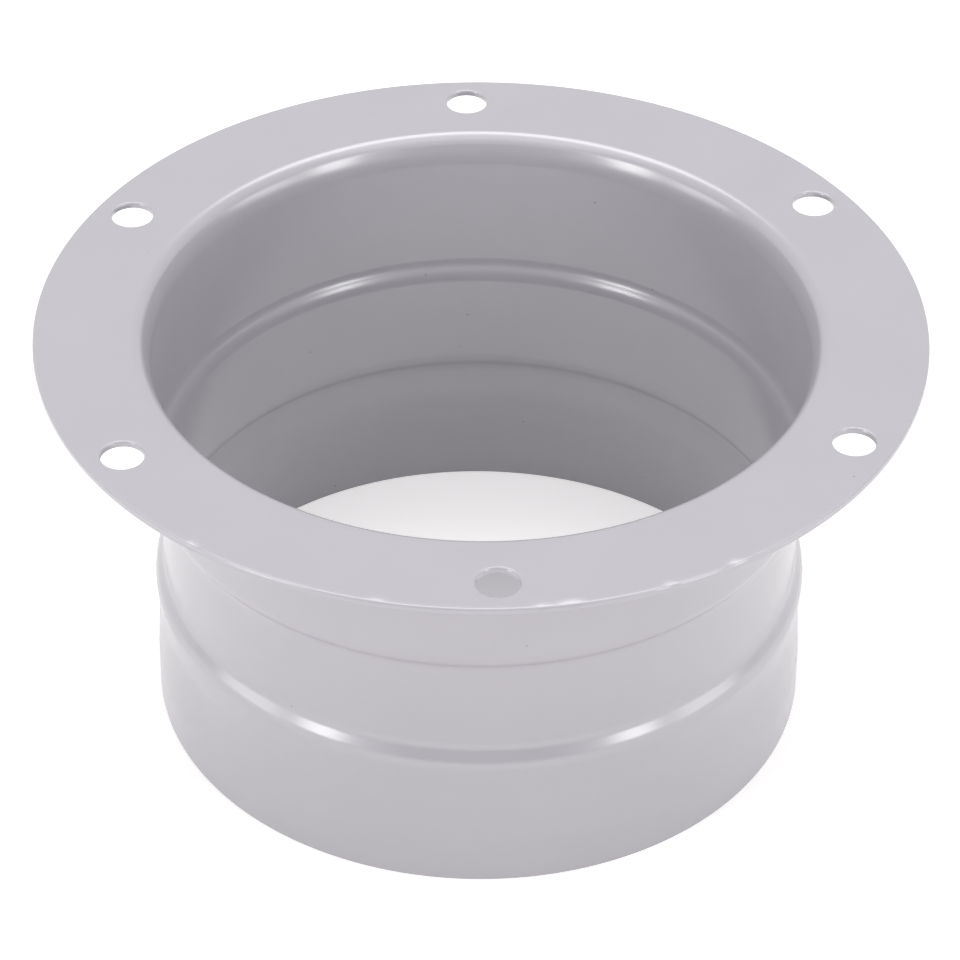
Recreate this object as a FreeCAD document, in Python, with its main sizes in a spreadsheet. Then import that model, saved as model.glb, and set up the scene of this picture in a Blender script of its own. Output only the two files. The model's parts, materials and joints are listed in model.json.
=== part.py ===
import FreeCAD, Part
import math
import os
import Sketcher

# Duct connector flange: one piece of sheet steel, drawn into a collar with a flat ring
# flange at its top, and with a neck rolled into its wall between a shoulder and a bead.
# Sizes are in millimetres. The origin is on the collar's axis, at the rim that it stands
# on, and +Z points up through the flange.

NODE = "flanged_collar"

doc = FreeCAD.newDocument("DuctConnectorFlange")

# Driving sizes. A bend's radius is on the inside of the bend. Reliefs and rises are radial,
# from the spigot's outside, and slopes are in degrees from the axis.
SIZES = [
    ("sheet", 1.0, "thickness of the sheet, the same all over"),
    ("height", 66.7, "from the foot to the flange's face"),
    ("flange_width", 16.45, "from the shoulder's outside to the flange's rim"),
    ("hole_inset", 6.0, "from the flange's rim in to the centre of a screw hole"),
    ("hole_dia", 6.4, "screw hole"),
    ("hole_count", 6, "screw holes round the flange"),
    ("first_hole", 30.0, "angle from +X to the first hole, in degrees"),
    ("spigot_dia", 101.5, "outside of the spigot and its bead, which a 4 inch duct slides over"),
    ("shoulder_rise", 0.3, "shoulder under the flange, outside the spigot"),
    ("neck_relief", 1.0, "neck between the shoulder and the bead, inside the spigot"),
    ("waist_relief", 0.45, "waist below the bead, inside the spigot"),
    ("spigot_len", 7.0, "straight end of the spigot"),
    ("flare_len", 8.5, "from the spigot in to the waist"),
    ("bead_fall", 6.6, "from the waist out to the bead's crest"),
    ("neck_len", 15.0, "straight neck"),
    ("bead_slope", 25.0, "slope from the neck out to the bead"),
    ("step_slope", 25.0, "slope from the neck out to the shoulder"),
    ("flange_bend", 2.0, "bend radius under the flange, at the collar"),
    ("flange_ease", 1.5, "by which that radius is larger towards the flange"),
    ("step_bend", 1.5, "bend radius at both ends of the step"),
    ("bead_bend", 1.2, "bend radius at the bead's crest and at the neck above it"),
]

sheet = doc.addObject("Spreadsheet::Sheet", "Sizes")
size = {}
for row, (alias, value, meaning) in enumerate(SIZES, start=1):
    sheet.set(f"A{row}", meaning)
    sheet.set(f"B{row}", str(value))
    sheet.setAlias(f"B{row}", alias)
    size[alias] = value
doc.recompute()

body = doc.addObject("PartDesign::Body", "FlangedCollar")
body.Label = NODE


def new_sketch(name, role):
    """A sketch on the body's own origin plane that has this role."""
    sketch = body.newObject("Sketcher::SketchObject", name)
    plane = next(f for f in body.Origin.OriginFeatures if f.Role == role)
    sketch.AttachmentSupport = [(plane, "")]
    sketch.MapMode = "FlatFace"
    return sketch


def vector(u, v):
    return FreeCAD.Vector(u, v, 0)


# Half section of the sheet, u the radius and v the height. Its outer and its inner side each
# run from the flange's rim in to the collar and down to the standing rim. A bend's turn is
# +1 where its centre is outside the collar.
spigot = size["spigot_dia"] / 2
shoulder = spigot + size["shoulder_rise"]
neck = spigot - size["neck_relief"]
waist = spigot - size["waist_relief"]
rim_radius = shoulder + size["flange_width"]


def slope_height(rise, slope, bend):
    """Height between the centres of the two bends that carry a slope out by rise."""
    angle = math.radians(slope)
    return rise / math.tan(angle) + (2 * bend + size["sheet"]) * math.tan(angle / 2)


waist_height = size["spigot_len"] + size["flare_len"]
bead_height = waist_height + size["bead_fall"]
neck_bottom = bead_height + slope_height(spigot - neck, size["bead_slope"], size["bead_bend"])
neck_top = neck_bottom + size["neck_len"]
step_top = neck_top + slope_height(shoulder - neck, size["step_slope"], size["step_bend"])

# The flange's bend is in two halves of one eighth turn, the wider one towards the flange
ease_radius = size["flange_bend"] + size["flange_ease"]
ease_height = size["height"] - size["sheet"] - ease_radius
bend_shift = size["flange_ease"] * math.sqrt(0.5)

EASE, FLANGE_BEND, SHOULDER_END, NECK_START, NECK_END, CREST = range(6)
FLANGE, SHOULDER, STEP, NECK, BEAD_TOP, BEAD_FOOT, FLARE, SPIGOT = range(8)
BENDS = [
    # wall's radius, centre's height, inside radius, turn
    (shoulder - size["flange_ease"] + bend_shift, ease_height, ease_radius, 1),
    (shoulder, ease_height + bend_shift, size["flange_bend"], 1),
    (shoulder, step_top, size["step_bend"], -1),
    (neck, neck_top, size["step_bend"], 1),
    (neck, neck_bottom, size["bead_bend"], 1),
    (spigot, bead_height, size["bead_bend"], -1),
]


def bend_circle(bend, inward):
    """Centre of a bend, and its radius on the side that lies inward from the outer one,
    positive where the centre is outside the collar."""
    wall, centre_height, inside_radius, turn = BENDS[bend]
    outer_radius = inside_radius if turn > 0 else -(inside_radius + size["sheet"])
    return (wall + outer_radius, centre_height), outer_radius + inward


def touch_points(first, second):
    """Where the straight between two bends leaves the first and meets the second."""
    (c1, r1), (c2, r2) = first, second
    du = c2[0] - c1[0]
    dv = c2[1] - c1[1]
    heading = math.atan2(dv, du) - math.asin((r2 - r1) / math.hypot(du, dv))
    normal = (-math.sin(heading), math.cos(heading))
    return [(c[0] - r * normal[0], c[1] - r * normal[1]) for c, r in (first, second)]


def bend_arc(circle, start, end):
    """Arc from start to end, and which of its ends are those two."""
    centre, radius = circle
    first = math.atan2(start[1] - centre[1], start[0] - centre[0])
    last = math.atan2(end[1] - centre[1], end[0] - centre[0])
    round_edge = Part.Circle(vector(*centre), FreeCAD.Vector(0, 0, 1), abs(radius))
    if radius > 0:
        return Part.ArcOfCircle(round_edge, first, last), 1, 2
    return Part.ArcOfCircle(round_edge, last, first), 2, 1


def draw_side(section, inward):
    """Draws one side of the sheet. Returns its straights and its bends, from the flange's
    rim down, each as (number in the sketch, upper end, lower end)."""
    circles = [bend_circle(bend, inward) for bend in range(len(BENDS))]
    face = size["height"] - size["sheet"] + inward
    (ease_u, ease_v), radius = circles[EASE]
    middle = (ease_u - radius * math.sqrt(0.5), ease_v + radius * math.sqrt(0.5))
    waist_corner = (waist - inward, waist_height)
    spigot_corner = (spigot - inward, size["spigot_len"])

    # Ends of the straights, and between them the ends of the bends
    straight_ends = [[(rim_radius, face), (ease_u, face)]]
    for pair in zip(circles[FLANGE_BEND:], circles[SHOULDER_END:] + [(waist_corner, 0)]):
        straight_ends.append(touch_points(*pair))
    straight_ends.append([waist_corner, spigot_corner])
    straight_ends.append([spigot_corner, (spigot - inward, 0)])
    bend_ends = [(straight_ends[FLANGE][1], middle), (middle, straight_ends[SHOULDER][0])]
    for above, below in zip(straight_ends[SHOULDER:], straight_ends[STEP:FLARE]):
        bend_ends.append((above[1], below[0]))

    straights, bends = [], []
    for start, end in straight_ends:
        line = Part.LineSegment(vector(*start), vector(*end))
        straights.append((section.addGeometry(line, False), 1, 2))
    for circle, ends in zip(circles, bend_ends):
        arc, upper, lower = bend_arc(circle, *ends)
        bends.append((section.addGeometry(arc, False), upper, lower))

    run = [straights[FLANGE], bends[EASE]]
    for pair in zip(bends[FLANGE_BEND:], straights[SHOULDER:]):
        run.extend(pair)
    for (above, _, above_end), (below, below_start, _) in zip(run, run[1:]):
        section.addConstraint(Sketcher.Constraint("Tangent", above, above_end, below, below_start))
    for above, below in ((BEAD_FOOT, FLARE), (FLARE, SPIGOT)):
        corner = (straights[above][0], 2, straights[below][0], 1)
        section.addConstraint(Sketcher.Constraint("Coincident", *corner))
    return straights, bends


def bind(sketch, kind, geometry, value, expression):
    """Adds a dimension that the expression drives. value is what it comes to now."""
    number = sketch.addConstraint(Sketcher.Constraint(kind, *geometry, value))
    sketch.setExpression(f"Constraints[{number}]", expression)


ORIGIN = (-1, 1)
CENTRE = 3

section = new_sketch("Section", "XZ_Plane")
straights, bends = draw_side(section, 0)
inner_straights, inner_bends = draw_side(section, size["sheet"])

# The sheared rims close the section at the flange and at the foot
top_corner = vector(rim_radius, size["height"])
under_corner = vector(rim_radius, size["height"] - size["sheet"])
rim = section.addGeometry(Part.LineSegment(top_corner, under_corner), False)
foot = section.addGeometry(Part.LineSegment(vector(spigot - size["sheet"], 0), vector(spigot, 0)), False)
for edge, straight, end in ((rim, FLANGE, 1), (foot, SPIGOT, 2)):
    section.addConstraint(Sketcher.Constraint("Coincident", edge, 1, inner_straights[straight][0], end))
    section.addConstraint(Sketcher.Constraint("Coincident", edge, 2, straights[straight][0], end))
section.addConstraint(Sketcher.Constraint("Vertical", rim))
section.addConstraint(Sketcher.Constraint("Horizontal", foot))
section.addConstraint(Sketcher.Constraint("PointOnObject", foot, 2, -1))

# The two sides keep the sheet's thickness: bends share their centres, slopes are parallel, and
# the slight corners at the waist and at the top of the spigot are level with each other
for side in (straights, inner_straights):
    section.addConstraint(Sketcher.Constraint("Horizontal", side[FLANGE][0]))
    for wall in (SHOULDER, NECK, SPIGOT):
        section.addConstraint(Sketcher.Constraint("Vertical", side[wall][0]))
for slope in (STEP, BEAD_TOP):
    section.addConstraint(Sketcher.Constraint("Parallel", straights[slope][0], inner_straights[slope][0]))
for bend, inner_bend in zip(bends, inner_bends):
    section.addConstraint(Sketcher.Constraint("Coincident", bend[0], CENTRE, inner_bend[0], CENTRE))
for below in (FLARE, SPIGOT):
    corners = (inner_straights[below][0], 1, straights[below][0], 1)
    section.addConstraint(Sketcher.Constraint("Horizontal", *corners))
for pair in ((inner_straights[FLARE][0], 1, straights[FLARE][0], 1), (foot, 1, foot, 2)):
    bind(section, "DistanceX", pair, size["sheet"], "Sizes.sheet")

# Radii from the axis: the rim, the straight walls, the waist and the bead's crest
SPIGOT_RADIUS = "Sizes.spigot_dia / 2"
SHOULDER_RADIUS = f"{SPIGOT_RADIUS} + Sizes.shoulder_rise"
for straight, radius, expression in (
    (FLANGE, rim_radius, f"{SHOULDER_RADIUS} + Sizes.flange_width"),
    (SHOULDER, shoulder, SHOULDER_RADIUS),
    (NECK, neck, f"{SPIGOT_RADIUS} - Sizes.neck_relief"),
    (FLARE, waist, f"{SPIGOT_RADIUS} - Sizes.waist_relief"),
    (SPIGOT, spigot, SPIGOT_RADIUS),
):
    bind(section, "DistanceX", (*ORIGIN, straights[straight][0], 1), radius, expression)
(crest_centre, _), _ = bend_circle(CREST, 0)
crest_inset = f"{SPIGOT_RADIUS} - Sizes.bead_bend - Sizes.sheet"
bind(section, "DistanceX", (*ORIGIN, bends[CREST][0], CENTRE), crest_centre, crest_inset)

# Heights between the corners and the centres of the bends, and overall
for lower, upper, cell in (
    (ORIGIN, (straights[FLARE][0], 2), "spigot_len"),
    ((straights[FLARE][0], 2), (straights[FLARE][0], 1), "flare_len"),
    ((straights[FLARE][0], 1), (bends[CREST][0], CENTRE), "bead_fall"),
    ((bends[NECK_END][0], CENTRE), (bends[NECK_START][0], CENTRE), "neck_len"),
    (ORIGIN, (rim, 1), "height"),
):
    bind(section, "DistanceY", (*lower, *upper), size[cell], f"Sizes.{cell}")

# Slopes, as the heading of the straight on its way down
for slope, cell, side in ((STEP, "step_slope", "+"), (BEAD_TOP, "bead_slope", "-")):
    heading = -math.radians(90 + float(side + "1") * size[cell])
    bind(section, "Angle", (straights[slope][0],), heading, f"-(90 {side} Sizes.{cell}) * 1 deg")

# Bend radii, on whichever side of the sheet is the inside of the bend. The crest has its
# outside radius too, because no slope below it passes the sheet's thickness up.
RADII = [
    "Sizes.flange_bend + Sizes.flange_ease",
    "Sizes.flange_bend",
    "Sizes.step_bend",
    "Sizes.step_bend",
    "Sizes.bead_bend",
    "Sizes.bead_bend",
]
for bend, ((_, _, radius, turn), expression) in enumerate(zip(BENDS, RADII)):
    inside = bends if turn > 0 else inner_bends
    bind(section, "Radius", (inside[bend][0],), radius, expression)
crest_radius = size["bead_bend"] + size["sheet"]
bind(section, "Radius", (bends[CREST][0],), crest_radius, "Sizes.bead_bend + Sizes.sheet")

# The line between the centres of the flange bend's halves sets that they meet half way
(near_centre, _), (far_centre, _) = bend_circle(FLANGE_BEND, 0), bend_circle(EASE, 0)
centres = section.addGeometry(Part.LineSegment(vector(*near_centre), vector(*far_centre)), True)
for end, bend in ((1, FLANGE_BEND), (2, EASE)):
    section.addConstraint(Sketcher.Constraint("Coincident", centres, end, bends[bend][0], CENTRE))
section.addConstraint(Sketcher.Constraint("Angle", centres, -math.pi / 4))

doc.recompute()
if section.solve() != 0 or not section.FullyConstrained:
    raise RuntimeError("the sheet's section isn't fully constrained")

wall_solid = body.newObject("PartDesign::Revolution", "Wall")
wall_solid.Profile = section
wall_solid.ReferenceAxis = (section, ["V_Axis"])
wall_solid.Angle = 360
doc.recompute()

# Screw holes: one is punched through the flange, then repeated round the axis
hole_sketch = new_sketch("HoleSketch", "XY_Plane")
turn_angle = math.radians(size["first_hole"])
reach = rim_radius - size["hole_inset"]
hole_centre = vector(reach * math.cos(turn_angle), reach * math.sin(turn_angle))
spoke = hole_sketch.addGeometry(Part.LineSegment(vector(0, 0), hole_centre), True)
hole_circle = Part.Circle(hole_centre, FreeCAD.Vector(0, 0, 1), size["hole_dia"] / 2)
hole = hole_sketch.addGeometry(hole_circle, False)
hole_sketch.addConstraint(Sketcher.Constraint("Coincident", spoke, 1, *ORIGIN))
hole_sketch.addConstraint(Sketcher.Constraint("Coincident", hole, CENTRE, spoke, 2))
hole_reach = f"{SHOULDER_RADIUS} + Sizes.flange_width - Sizes.hole_inset"
bind(hole_sketch, "Distance", (spoke,), reach, hole_reach)
bind(hole_sketch, "Angle", (spoke,), turn_angle, "Sizes.first_hole * 1 deg")
bind(hole_sketch, "Radius", (hole,), size["hole_dia"] / 2, "Sizes.hole_dia / 2")
doc.recompute()

punch = body.newObject("PartDesign::Pocket", "Punch")
punch.Profile = hole_sketch
punch.Type = "ThroughAll"
punch.Reversed = True
doc.recompute()
slug = math.pi * (size["hole_dia"] / 2) ** 2 * size["sheet"]
if abs(wall_solid.Shape.Volume - punch.Shape.Volume - slug) > 0.01 * slug:
    raise RuntimeError("the punch missed the flange")

holes = body.newObject("PartDesign::PolarPattern", "HoleRing")
holes.Originals = [punch]
holes.Axis = (hole_sketch, ["N_Axis"])
holes.Angle = 360
holes.setExpression("Occurrences", "Sizes.hole_count")
body.Tip = holes
doc.recompute()

# Nothing is written unless every feature has built and the piece is one sound solid
for item in doc.Objects:
    if "Invalid" in item.State or "Error" in item.State:
        raise RuntimeError(f"{item.Name} failed to build: {item.State}")
if body.Shape.isNull() or not body.Shape.isValid() or len(body.Shape.Solids) != 1:
    raise RuntimeError(f"{NODE} isn't one sound solid")

os.makedirs("parts", exist_ok=True)
body.Shape.exportStep(f"parts/{body.Label}.step")
print(f"{NODE}: height {size['height']:.2f} mm, volume {body.Shape.Volume:.0f} cubic mm")
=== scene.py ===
import json
import math

import bmesh
import bpy
from mathutils import Matrix, Vector


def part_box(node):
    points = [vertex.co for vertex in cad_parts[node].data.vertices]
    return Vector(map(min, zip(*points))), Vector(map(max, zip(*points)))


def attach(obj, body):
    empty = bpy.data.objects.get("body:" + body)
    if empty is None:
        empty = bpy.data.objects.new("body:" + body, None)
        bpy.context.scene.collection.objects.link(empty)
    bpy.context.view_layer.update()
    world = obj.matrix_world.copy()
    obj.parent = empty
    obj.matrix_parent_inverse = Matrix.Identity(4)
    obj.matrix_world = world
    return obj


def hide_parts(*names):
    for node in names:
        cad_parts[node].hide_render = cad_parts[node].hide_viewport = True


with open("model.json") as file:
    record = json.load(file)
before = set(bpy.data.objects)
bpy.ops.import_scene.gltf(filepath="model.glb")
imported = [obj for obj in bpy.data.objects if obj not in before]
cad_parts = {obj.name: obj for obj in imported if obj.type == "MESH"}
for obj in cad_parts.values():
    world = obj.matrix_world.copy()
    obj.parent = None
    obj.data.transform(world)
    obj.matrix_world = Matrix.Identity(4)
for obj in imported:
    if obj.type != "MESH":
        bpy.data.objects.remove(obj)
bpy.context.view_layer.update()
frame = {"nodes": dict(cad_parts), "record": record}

# The part: a drawn sheet-metal duct connector in satin light grey paint. Its flange is flat,
# its collar has a step under the flange and a rolled bead above the spigot.
NODE = "flanged_collar"
MM = 0.001

_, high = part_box(NODE)
mounts = {mount["name"]: mount["dims"] for mount in frame["record"]["mounts"]}
RIM = high.x
TOP = high.z
HOLE_CIRCLE = mounts["flange_screws"]["pcd_mm"] / 2 * MM
HOLE = mounts["flange_screws"]["hole_r_mm"] * MM
HOLES = mounts["flange_screws"]["count"]
FIRST_HOLE = math.radians(30)
SPIGOT = mounts["duct_spigot"]["r_mm"] * MM
SHEET = 1.0 * MM

# The collar's outside: its radii, and the heights at which it changes from one to the next
SHOULDER = SPIGOT + 0.3 * MM
NECK = SPIGOT - 1.15 * MM
NECK_FOOT = SPIGOT - 1.55 * MM
BEAD = SPIGOT + 0.05 * MM
WAIST = SPIGOT - 0.49 * MM
FLARE_REACH = 1.25 * MM
FLARE_DROP = 2.17 * MM
STEP_TOP = 42.7 * MM
STEP_FOOT = 40.9 * MM
BEAD_TOP = 25.1 * MM
BEAD_CREST = 22.5 * MM
WAIST_HEIGHT = 17.0 * MM
SPIGOT_TOP = 6.8 * MM

# The underside of the flange and the outside of the collar, from the rim in and down.
# Each corner is (radius, height, bend radius), and the bends are rounded to that radius.
CORNERS = [
    (RIM, TOP - SHEET, 0),
    (SHOULDER + FLARE_REACH, TOP - SHEET, 1.45 * MM),
    (SHOULDER, TOP - SHEET - FLARE_DROP, 6.0 * MM),
    (SHOULDER, STEP_TOP, 3.5 * MM),
    (NECK, STEP_FOOT, 2.8 * MM),
    (NECK_FOOT, BEAD_TOP, 3.0 * MM),
    (BEAD, BEAD_CREST, 3.4 * MM),
    (WAIST, WAIST_HEIGHT, 13.0 * MM),
    (SPIGOT, SPIGOT_TOP, 12.0 * MM),
    (SPIGOT, 0, 0),
]
BEND_STEP = math.radians(7)
TURNS = 432

# The patch of flange that makes way for a hole: so many turns of the spin wide, and so many
# rings deep
PATCH_STEPS = 12
PATCH_PITCH = 0.8 * MM

# The sheared edges are those that turn by more than SHEARED.
SHEARED = math.radians(50)
LIP_ROUND = 0.35 * MM
EDGE_ROUND = 0.15 * MM

# The nicks in the flange's rim, as (degrees to the camera's right, half of the width)
NICKS = [
    (-36.8, 1.1 * MM),
    (-12.1, 0.9 * MM),
    (7.4, 1.0 * MM),
    (9.7, 0.8 * MM),
    (11.5, 1.2 * MM),
    (23.2, 0.9 * MM),
    (32.2, 1.4 * MM),
]
NICK_DEPTH = 0.22 * MM
NICK_ZONE = 1.5 * LIP_ROUND

PAINT = (0.40, 0.387, 0.423)
PAINT_ROUGHNESS = 0.23
PAINT_IOR = 1.9
PEEL_SIZE = 1.6 * MM
PEEL_DEPTH = 0.0012 * MM
CLOUD_SIZE = 14 * MM
CLOUD_SHADE = 0.03
SPECK_PITCH = 4.0 * MM
SPECK = 0.16 * MM
SPECK_SHARE = 0.35
SPECK_SHADE = 0.45

FLOOR_RADIUS = 3.0
FLOOR_COLOUR = (0.9, 0.88, 0.875, 1)
FLOOR_LIFT = 0.37
FLAG_GREY = 0.5
WORLD_LEVEL = 0.67

# (name, azimuth, elevation, distance, width, height, power), in degrees, metres and watts
SOFTBOXES = [
    ("top_softbox", 0, 89.9, 1.2, 1.2, 1.2, 3.5),
    ("back_softbox", 180, 66, 1.4, 1.0, 0.6, 6.5),
    ("left_softbox", -50, 19, 1.0, 0.22, 0.5, 2.4),
    ("right_softbox", 50, 19, 1.0, 0.22, 0.5, 2.1),
    ("left_low_softbox", -76, 6, 1.0, 0.4, 0.3, 1.0),
    ("right_low_softbox", 76, 6, 1.0, 0.4, 0.3, 1.0),
]

# The camera looks down on the flange. Its place and lens come from the photograph's outlines.
CAMERA_TURN = math.radians(-2.46)
CAMERA_DISTANCE = 538.9 * MM
CAMERA_ABOVE_FLANGE = 389.9 * MM
CAMERA_PITCH = math.radians(37.909)
CAMERA_ROLL = math.radians(0.45)
CAMERA_LENS = 165.3


def add_object(name, mesh):
    """Makes an object of a bmesh, and frees the bmesh."""
    data = bpy.data.meshes.new(name)
    mesh.to_mesh(data)
    mesh.free()
    item = bpy.data.objects.new(name, data)
    bpy.context.scene.collection.objects.link(item)
    return item


# Sheet
def draw_outline(mesh):
    """The outline as a chain of edges in the XZ plane, with its corners rounded."""
    corners = [mesh.verts.new((radius, 0, height)) for radius, height, _ in CORNERS]
    for start, end in zip(corners, corners[1:]):
        mesh.edges.new((start, end))
    for corner, (_, _, bend) in list(zip(corners, CORNERS))[1:-1]:
        sides = [(edge.other_vert(corner).co - corner.co).normalized() for edge in corner.link_edges]
        turn = math.pi - sides[0].angle(sides[1])
        bmesh.ops.bevel(
            mesh,
            geom=[corner],
            offset=bend * math.tan(turn / 2),
            offset_type="OFFSET",
            segments=max(3, round(turn / BEND_STEP)),
            profile=0.5,
            affect="VERTICES",
            material=-1,
        )
    # Rings that the screw holes' patches need across the flange
    rings = [HOLE_CIRCLE + (step - PATCH_STEPS / 2) * PATCH_PITCH for step in range(PATCH_STEPS + 1)]
    for radius in rings:
        bmesh.ops.bisect_plane(
            mesh,
            geom=mesh.verts[:] + mesh.edges[:],
            plane_co=(radius, 0, 0),
            plane_no=(1, 0, 0),
        )


def punch_hole(mesh, angle):
    """Opens one patch of the flange and fits a round hole into it."""
    centre = Vector((HOLE_CIRCLE * math.cos(angle), HOLE_CIRCLE * math.sin(angle), TOP - SHEET))
    reach = PATCH_STEPS / 2 * PATCH_PITCH
    half_turn = PATCH_STEPS / 2 * 2 * math.pi / TURNS
    patch = []
    for face in mesh.faces:
        middle = face.calc_center_median()
        if middle.z < TOP - 1.5 * SHEET or abs(math.hypot(middle.x, middle.y) - HOLE_CIRCLE) > reach:
            continue
        off = (math.atan2(middle.y, middle.x) - angle + math.pi) % (2 * math.pi) - math.pi
        if abs(off) < half_turn:
            patch.append(face)
    edges = dict.fromkeys(edge for face in patch for edge in face.edges)
    border = [edge for edge in edges if sum(face in patch for face in edge.link_faces) == 1]
    bmesh.ops.delete(mesh, geom=patch, context="FACES")
    inner = bmesh.ops.extrude_edge_only(mesh, edges=border)
    for vert in inner["geom"]:
        if isinstance(vert, bmesh.types.BMVert):
            vert.co = centre + (vert.co - centre).normalized() * HOLE


def apply_modifiers(piece):
    """Makes what the piece's modifiers show its own mesh."""
    shown = piece.evaluated_get(bpy.context.evaluated_depsgraph_get())
    data = bpy.data.meshes.new_from_object(shown)
    piece.modifiers.clear()
    piece.data = data


def nick_rim(mesh):
    """Presses the small nicks that the photo shows into the flange's upper rim."""
    for vert in mesh.verts:
        radius = math.hypot(vert.co.x, vert.co.y)
        if radius < RIM - NICK_ZONE or vert.co.z < TOP - NICK_ZONE:
            continue
        azimuth = math.atan2(vert.co.x, -vert.co.y) - CAMERA_TURN
        for place, size in NICKS:
            off = abs(azimuth - math.radians(place)) * RIM
            if off < size:
                depth = NICK_DEPTH * (1 - off / size)
                vert.co.x *= 1 - depth / radius
                vert.co.y *= 1 - depth / radius
                vert.co.z -= depth


def round_edges(piece):
    """Rounds the sheared edges, the flange's upper ones the most, and nicks the rim."""
    mesh = bmesh.new()
    mesh.from_mesh(piece.data)
    for upper, size in ((True, LIP_ROUND), (False, EDGE_ROUND)):
        edges = []
        for edge in mesh.edges:
            if not edge.is_manifold or edge.calc_face_angle() < SHEARED:
                continue
            height = (edge.verts[0].co.z + edge.verts[1].co.z) / 2
            if (height > TOP - 0.1 * SHEET) == upper:
                edges.append(edge)
        bmesh.ops.bevel(
            mesh,
            geom=edges,
            offset=size,
            offset_type="OFFSET",
            segments=3,
            profile=0.5,
            affect="EDGES",
            clamp_overlap=True,
            material=-1,
        )
    nick_rim(mesh)
    for face in mesh.faces:
        face.smooth = True
    mesh.to_mesh(piece.data)
    mesh.free()


def build_sheet():
    """Spins the outline, cuts the holes, and gives the sheet its thickness and its edges."""
    mesh = bmesh.new()
    draw_outline(mesh)
    bmesh.ops.spin(
        mesh,
        geom=mesh.verts[:] + mesh.edges[:],
        cent=(0, 0, 0),
        axis=(0, 0, 1),
        angle=2 * math.pi,
        steps=TURNS,
        use_merge=True,
    )
    bmesh.ops.remove_doubles(mesh, verts=mesh.verts[:], dist=0.001 * MM)
    for number in range(HOLES):
        punch_hole(mesh, FIRST_HOLE + number * 2 * math.pi / HOLES)
    bmesh.ops.recalc_face_normals(mesh, faces=mesh.faces[:])
    flange = next(face for face in mesh.faces if face.calc_center_median().z > TOP - 1.01 * SHEET)
    if flange.normal.z > 0:
        bmesh.ops.reverse_faces(mesh, faces=mesh.faces[:])
    sheet = add_object("collar_sheet", mesh)
    wall = sheet.modifiers.new("sheet", "SOLIDIFY")
    wall.thickness = SHEET
    wall.offset = -1
    wall.use_even_offset = True
    apply_modifiers(sheet)
    round_edges(sheet)
    return sheet


# Materials
class Tree:
    """Short ways to add and join the nodes of one node tree."""

    def __init__(self, tree):
        self.nodes, self.links = tree.nodes, tree.links

    def add(self, kind, sources=(), **settings):
        """Adds a node. A source is a socket to join, or a value, in the order of the inputs."""
        node = self.nodes.new(kind)
        for name, value in settings.items():
            setattr(node, name, value)
        for socket, source in zip(node.inputs, sources):
            self.feed(socket, source)
        return node

    def feed(self, socket, source):
        if isinstance(source, bpy.types.NodeSocket):
            self.links.new(source, socket)
        else:
            socket.default_value = source

    def math(self, operation, *sources):
        return self.add("ShaderNodeMath", sources, operation=operation).outputs[0]

    def noise(self, place, size, detail):
        node = self.add("ShaderNodeTexNoise")
        self.feed(node.inputs["Vector"], place)
        self.feed(node.inputs["Scale"], 1 / size)
        self.feed(node.inputs["Detail"], detail)
        return node.outputs["Fac"]

    def speckle(self, place):
        """1 in the small dark specks of the paint, and 0 elsewhere."""
        node = self.add("ShaderNodeTexVoronoi")
        self.feed(node.inputs["Vector"], place)
        self.feed(node.inputs["Scale"], 1 / SPECK_PITCH)
        near = self.math("LESS_THAN", node.outputs["Distance"], SPECK / SPECK_PITCH)
        chosen = self.math("LESS_THAN", node.outputs["Color"], SPECK_SHARE)
        return self.math("MULTIPLY", near, chosen)


def sees_background(tree):
    """1 for the rays that see the background itself, mirrored or not, and 0 for light."""
    path = tree.add("ShaderNodeLightPath").outputs
    seen = tree.math("MAXIMUM", path["Is Camera Ray"], path["Is Glossy Ray"])
    return tree.math("MAXIMUM", seen, path["Is Transmission Ray"])


def new_material(name):
    material = bpy.data.materials.new(name)
    material.use_nodes = True
    tree = Tree(material.node_tree)
    return material, tree, tree.nodes["Principled BSDF"].inputs


def paint_material():
    material, tree, paint = new_material("satin_grey_paint")
    place = tree.add("ShaderNodeTexCoord").outputs["Object"]

    cloud = tree.math("SUBTRACT", tree.noise(place, CLOUD_SIZE, 2.0), 0.5)
    shade = tree.math("MULTIPLY_ADD", cloud, 2 * CLOUD_SHADE, 1.0)
    shade = tree.math("MULTIPLY_ADD", tree.speckle(place), -SPECK_SHADE, shade)
    colour = tree.add("ShaderNodeVectorMath", (PAINT,), operation="SCALE")
    tree.feed(colour.inputs["Scale"], shade)
    tree.feed(paint["Base Color"], colour.outputs["Vector"])

    peel = tree.add("ShaderNodeBump")
    tree.feed(peel.inputs["Distance"], PEEL_DEPTH)
    tree.feed(peel.inputs["Height"], tree.noise(place, PEEL_SIZE, 1.0))
    tree.feed(paint["Normal"], peel.outputs["Normal"])

    paint["Roughness"].default_value = PAINT_ROUGHNESS
    paint["IOR"].default_value = PAINT_IOR
    return material


# Floor, light and camera
def build_floor():
    mesh = bmesh.new()
    bmesh.ops.create_circle(mesh, cap_ends=True, segments=96, radius=FLOOR_RADIUS)
    floor = add_object("floor", mesh)
    material, tree, surface = new_material("white_floor")
    surface["Base Color"].default_value = FLOOR_COLOUR
    surface["Roughness"].default_value = 0.9
    surface["Specular IOR Level"].default_value = 0.1
    surface["Emission Color"].default_value = (1, 1, 1, 1)
    lift = tree.math("MULTIPLY", sees_background(tree), FLOOR_LIFT)
    tree.feed(surface["Emission Strength"], lift)
    floor.data.materials.append(material)


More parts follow.
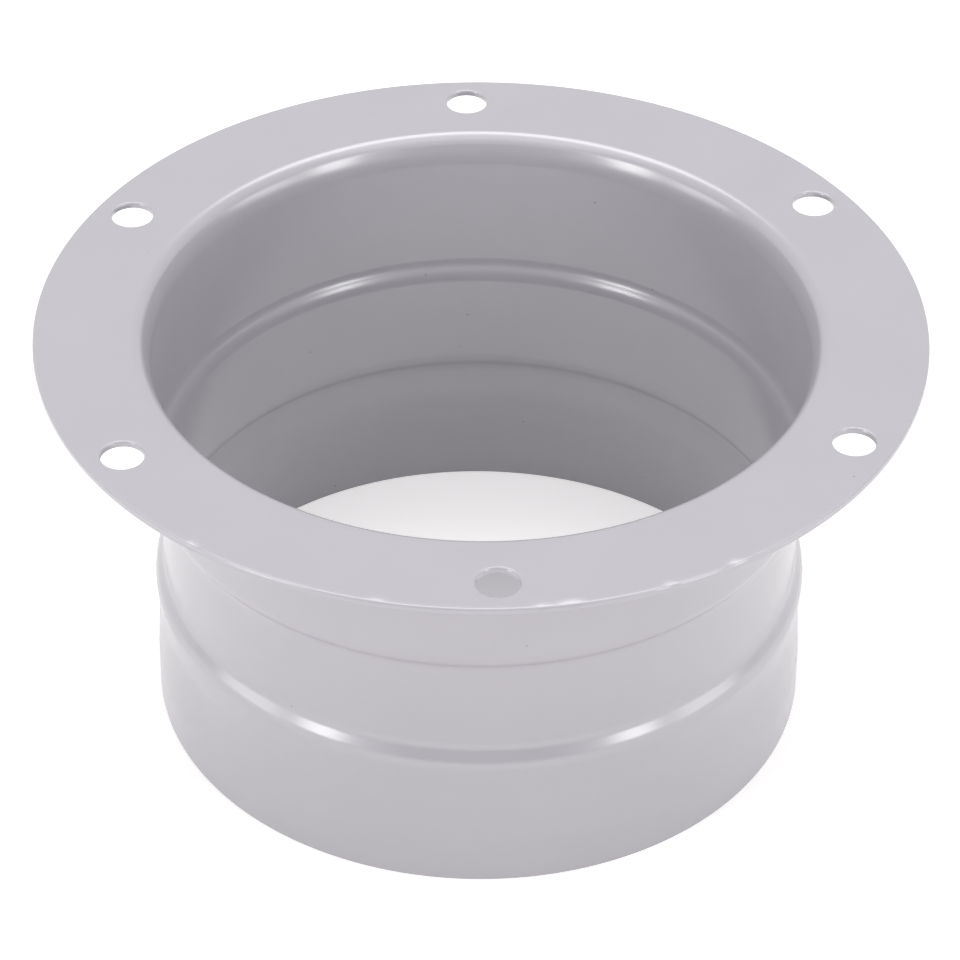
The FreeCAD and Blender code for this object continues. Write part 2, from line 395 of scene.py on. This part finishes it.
def build_world():
    world = bpy.data.worlds.new("studio")
    bpy.context.scene.world = world
    world.use_nodes = True
    tree = Tree(world.node_tree)
    level = tree.add("ShaderNodeMapRange")
    tree.feed(level.inputs["Value"], sees_background(tree))
    tree.feed(level.inputs["To Min"], WORLD_LEVEL)
    tree.feed(level.inputs["To Max"], 1.0)
    back = tree.nodes["Background"]
    back.inputs["Color"].default_value = (1, 1, 1, 1)
    tree.feed(back.inputs["Strength"], level.outputs["Result"])


def aim(item, azimuth, elevation, distance):
    """Puts a lamp or a panel so that it faces the part. Azimuth 0 is on the camera's side and
    90 to its right."""
    turn = math.radians(azimuth) + CAMERA_TURN
    rise = math.radians(elevation)
    out = Vector((math.sin(turn) * math.cos(rise), -math.cos(turn) * math.cos(rise), math.sin(rise)))
    item.location = Vector((0, 0, TOP / 2)) + out * distance
    item.rotation_mode = "QUATERNION"
    item.rotation_quaternion = out.to_track_quat("Z", "Y")


def build_flag():
    """A matt grey panel behind the camera, which keeps light and reflections off the front."""
    mesh = bmesh.new()
    bmesh.ops.create_grid(mesh, x_segments=1, y_segments=1, size=0.5)
    flag = add_object("grey_flag", mesh)
    aim(flag, azimuth=0, elevation=14, distance=1.3)
    flag.scale = (1.3, 0.55, 1)
    flag.visible_camera = False
    material, _, surface = new_material("matt_grey")
    surface["Base Color"].default_value = (FLAG_GREY, FLAG_GREY, FLAG_GREY, 1)
    surface["Roughness"].default_value = 1.0
    flag.data.materials.append(material)


def build_softbox(name, azimuth, elevation, distance, width, height, power):
    light = bpy.data.lights.new(name, "AREA")
    light.shape = "RECTANGLE"
    light.size = width
    light.size_y = height
    light.energy = power
    lamp = bpy.data.objects.new(name, light)
    bpy.context.scene.collection.objects.link(lamp)
    aim(lamp, azimuth, elevation, distance)


def build_camera():
    data = bpy.data.cameras.new("camera")
    data.sensor_width = 36
    data.lens = CAMERA_LENS
    data.clip_start = 0.01
    data.clip_end = 50
    camera = bpy.data.objects.new("camera", data)
    bpy.context.scene.collection.objects.link(camera)
    turned = Matrix.Rotation(CAMERA_TURN, 4, "Z")
    place = turned @ Vector((0, -CAMERA_DISTANCE, TOP + CAMERA_ABOVE_FLANGE))
    camera.matrix_world = (
        Matrix.Translation(place)
        @ turned
        @ Matrix.Rotation(math.pi / 2 - CAMERA_PITCH, 4, "X")
        @ Matrix.Rotation(CAMERA_ROLL, 4, "Z")
    )
    bpy.context.scene.camera = camera


sheet = build_sheet()
sheet.data.materials.clear()
sheet.data.materials.append(paint_material())
even_normals = sheet.modifiers.new("even_normals", "WEIGHTED_NORMAL")
even_normals.keep_sharp = False
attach(sheet, "root")
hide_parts(NODE)
frame["nodes"][NODE].data.materials.clear()
frame["nodes"][NODE].data.materials.append(sheet.data.materials[0])

build_camera()
build_floor()
build_flag()
build_world()
for softbox in SOFTBOXES:
    build_softbox(*softbox)
bpy.context.scene.view_settings.view_transform = "Standard"
